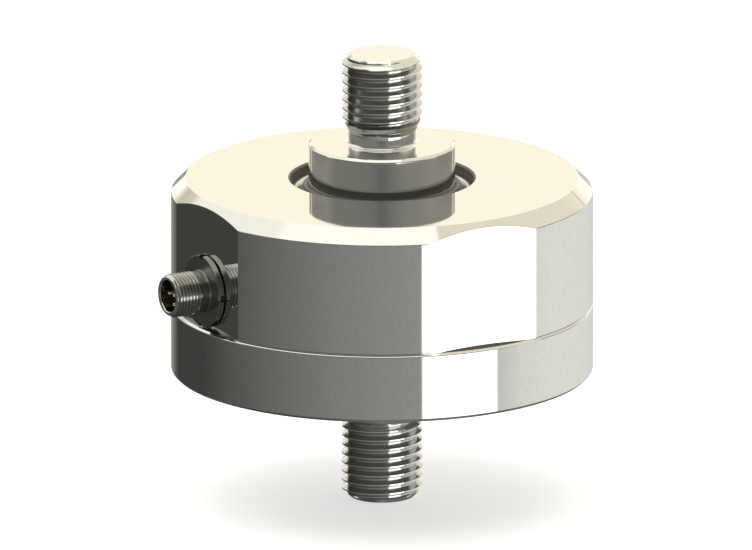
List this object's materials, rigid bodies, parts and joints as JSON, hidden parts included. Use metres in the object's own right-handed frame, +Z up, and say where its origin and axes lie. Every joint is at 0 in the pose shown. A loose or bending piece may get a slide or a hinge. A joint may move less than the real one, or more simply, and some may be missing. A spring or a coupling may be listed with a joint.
{
  "type": "force sensor",
  "caption": "Round steel force sensor for tension and compression, with a threaded stud above and below, wrench flats and a round plug connector on one side.",
  "frame": {"origin": "middle of the seat face on the lower boss, on the load axis", "axes": "+Z up the load axis towards the upper stud, -X towards the connector, -Y towards a bare wrench flat"},
  "size_m": [0.125, 0.115, 0.1245],
  "materials": {
    "housing_steel": "polished with a faint upright grain",
    "base_steel": "polished with a faint upright grain",
    "spring_steel": "polished, turned",
    "diaphragm_steel": "bright rolled sheet",
    "connector_steel": "fine turned",
    "screw_steel": "plain",
    "seal_rubber": "black",
    "gauge_foil": "amber film with foil",
    "wire_insulation": "plain",
    "board_laminate": "green laminate",
    "spacer_brass": "plain",
    "chip_plastic": "black",
    "resistor_ceramic": "black with bare ends",
    "capacitor_can": "drawn can",
    "insert_plastic": "black",
    "potting_resin": "black resin",
    "contact_gold": "gold plated"
  },
  "bodies": {
    "root": {"housing": "housing_steel", "base": "base_steel", "spring_element": "spring_steel", "sealing_diaphragm": "diaphragm_steel", "base_seal": "seal_rubber", "spring_screws": "screw_steel", "housing_screws": "screw_steel", "dowel_pins": "screw_steel", "strain_gauges": "gauge_foil", "gauge_terminals": "gauge_foil", "bridge_wires": "wire_insulation", "terminal_board": "board_laminate", "board_spacers": "spacer_brass", "board_screws": "screw_steel", "amplifier_chip": "chip_plastic", "trim_resistors": "resistor_ceramic", "capacitors": "capacitor_can", "connector_shell": "connector_steel", "connector_seal": "seal_rubber", "connector_insert": "insert_plastic", "connector_potting": "potting_resin", "contact_pin_1": "contact_gold", "lead_wire_1": "wire_insulation", "contact_pin_2": "contact_gold", "lead_wire_2": "wire_insulation", "contact_pin_3": "contact_gold", "lead_wire_3": "wire_insulation", "contact_pin_4": "contact_gold", "lead_wire_4": "wire_insulation", "contact_pin_5": "contact_gold", "lead_wire_5": "wire_insulation"}
  },
  "joints": []
}
